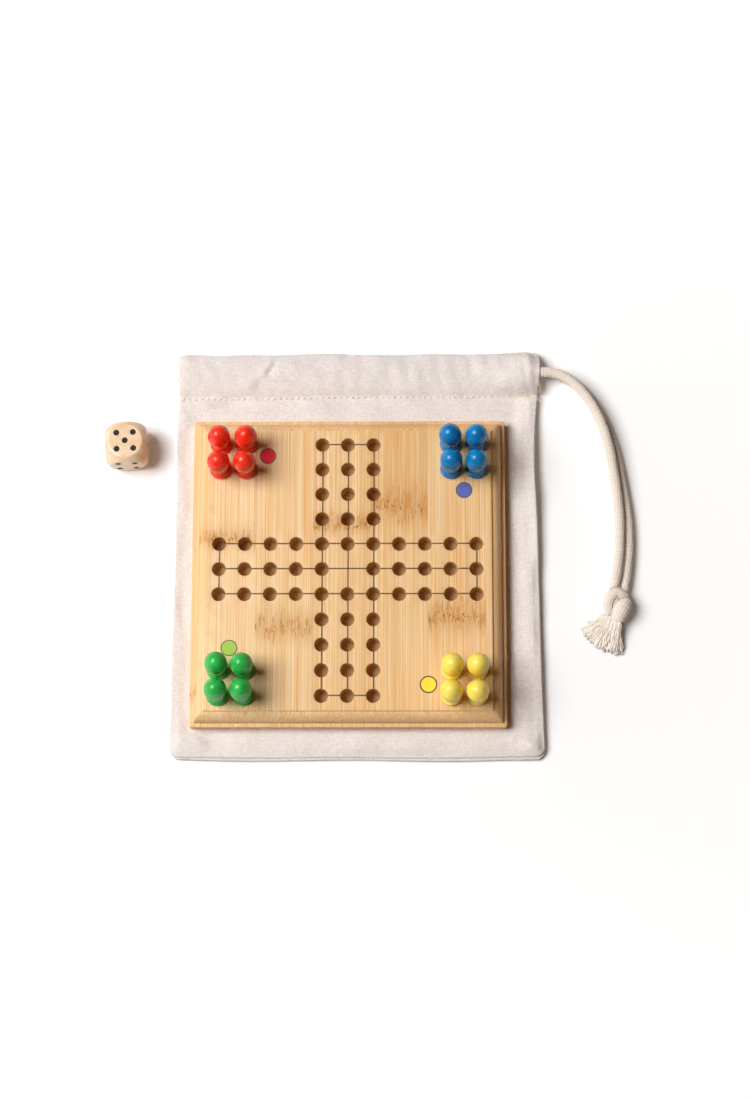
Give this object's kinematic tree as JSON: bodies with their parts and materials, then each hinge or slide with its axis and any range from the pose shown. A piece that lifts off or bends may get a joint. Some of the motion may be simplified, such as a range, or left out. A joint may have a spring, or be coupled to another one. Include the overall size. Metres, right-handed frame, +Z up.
{
  "type": "travel ludo board set",
  "caption": "Square bamboo ludo peg board with a moulded edge, coloured turned peg pawns in its home corners, a rounded wooden die and the cotton drawstring bag it lies on.",
  "frame": {"origin": "on the table under the middle of the board, on the underside of the bag", "axes": "+Z up, +Y towards the bag's mouth, +X towards the side where the drawcord leaves"},
  "size_m": [0.2036, 0.1574, 0.0297],
  "materials": {
    "bamboo": "fine straight grain, satin lacquer",
    "beech": "tumbled and lacquered",
    "red_paint": "gloss paint on turned wood",
    "blue_paint": "gloss paint on turned wood",
    "green_paint": "gloss paint on turned wood",
    "yellow_paint": "gloss paint on turned wood",
    "cotton": "plain unbleached calico",
    "cord": "braided unbleached cotton"
  },
  "bodies": {
    "bag": {"bag_back_panel": "cotton", "bag_seam_allowance": "cotton", "bag_front_panel": "cotton", "bag_back_hem": "cotton", "bag_front_hem": "cotton", "drawcord_back_run": "cord", "drawcord_front_run": "cord", "drawcord_left_turn": "cord", "drawcord_front_strand": "cord", "drawcord_back_strand": "cord", "drawcord_knot": "cord", "drawcord_tassel": "cord"},
    "board": {"board": "bamboo"},
    "die": {"die": "beech"},
    "pawn_red_1": {"pawn_red_1": "red_paint"},
    "pawn_red_2": {"pawn_red_2": "red_paint"},
    "pawn_red_3": {"pawn_red_3": "red_paint"},
    "pawn_red_4": {"pawn_red_4": "red_paint"},
    "pawn_blue_1": {"pawn_blue_1": "blue_paint"},
    "pawn_blue_2": {"pawn_blue_2": "blue_paint"},
    "pawn_blue_3": {"pawn_blue_3": "blue_paint"},
    "pawn_blue_4": {"pawn_blue_4": "blue_paint"},
    "pawn_green_1": {"pawn_green_1": "green_paint"},
    "pawn_green_2": {"pawn_green_2": "green_paint"},
    "pawn_green_3": {"pawn_green_3": "green_paint"},
    "pawn_green_4": {"pawn_green_4": "green_paint"},
    "pawn_yellow_1": {"pawn_yellow_1": "yellow_paint"},
    "pawn_yellow_2": {"pawn_yellow_2": "yellow_paint"},
    "pawn_yellow_3": {"pawn_yellow_3": "yellow_paint"},
    "pawn_yellow_4": {"pawn_yellow_4": "yellow_paint"}
  },
  "joints": [
    {"name": "board_lift", "type": "slide", "parent": "bag", "child": "board", "axis": [0, 0, 1], "range_m": [0, 0.04]},
    {"name": "die_lift", "type": "slide", "parent": "bag", "child": "die", "axis": [0, 0, 1], "range_m": [0, 0.04]},
    {"name": "pawn_red_1_lift", "type": "slide", "parent": "board", "child": "pawn_red_1", "axis": [0, 0, 1], "range_m": [0, 0.025]},
    {"name": "pawn_red_2_lift", "type": "slide", "parent": "board", "child": "pawn_red_2", "axis": [0, 0, 1], "range_m": [0, 0.025]},
    {"name": "pawn_red_3_lift", "type": "slide", "parent": "board", "child": "pawn_red_3", "axis": [0, 0, 1], "range_m": [0, 0.025]},
    {"name": "pawn_red_4_lift", "type": "slide", "parent": "board", "child": "pawn_red_4", "axis": [0, 0, 1], "range_m": [0, 0.025]},
    {"name": "pawn_blue_1_lift", "type": "slide", "parent": "board", "child": "pawn_blue_1", "axis": [0, 0, 1], "range_m": [0, 0.025]},
    {"name": "pawn_blue_2_lift", "type": "slide", "parent": "board", "child": "pawn_blue_2", "axis": [0, 0, 1], "range_m": [0, 0.025]},
    {"name": "pawn_blue_3_lift", "type": "slide", "parent": "board", "child": "pawn_blue_3", "axis": [0, 0, 1], "range_m": [0, 0.025]},
    {"name": "pawn_blue_4_lift", "type": "slide", "parent": "board", "child": "pawn_blue_4", "axis": [0, 0, 1], "range_m": [0, 0.025]},
    {"name": "pawn_green_1_lift", "type": "slide", "parent": "board", "child": "pawn_green_1", "axis": [0, 0, 1], "range_m": [0, 0.025]},
    {"name": "pawn_green_2_lift", "type": "slide", "parent": "board", "child": "pawn_green_2", "axis": [0, 0, 1], "range_m": [0, 0.025]},
    {"name": "pawn_green_3_lift", "type": "slide", "parent": "board", "child": "pawn_green_3", "axis": [0, 0, 1], "range_m": [0, 0.025]},
    {"name": "pawn_green_4_lift", "type": "slide", "parent": "board", "child": "pawn_green_4", "axis": [0, 0, 1], "range_m": [0, 0.025]},
    {"name": "pawn_yellow_1_lift", "type": "slide", "parent": "board", "child": "pawn_yellow_1", "axis": [0, 0, 1], "range_m": [0, 0.025]},
    {"name": "pawn_yellow_2_lift", "type": "slide", "parent": "board", "child": "pawn_yellow_2", "axis": [0, 0, 1], "range_m": [0, 0.025]},
    {"name": "pawn_yellow_3_lift", "type": "slide", "parent": "board", "child": "pawn_yellow_3", "axis": [0, 0, 1], "range_m": [0, 0.025]},
    {"name": "pawn_yellow_4_lift", "type": "slide", "parent": "board", "child": "pawn_yellow_4", "axis": [0, 0, 1], "range_m": [0, 0.025]}
  ]
}
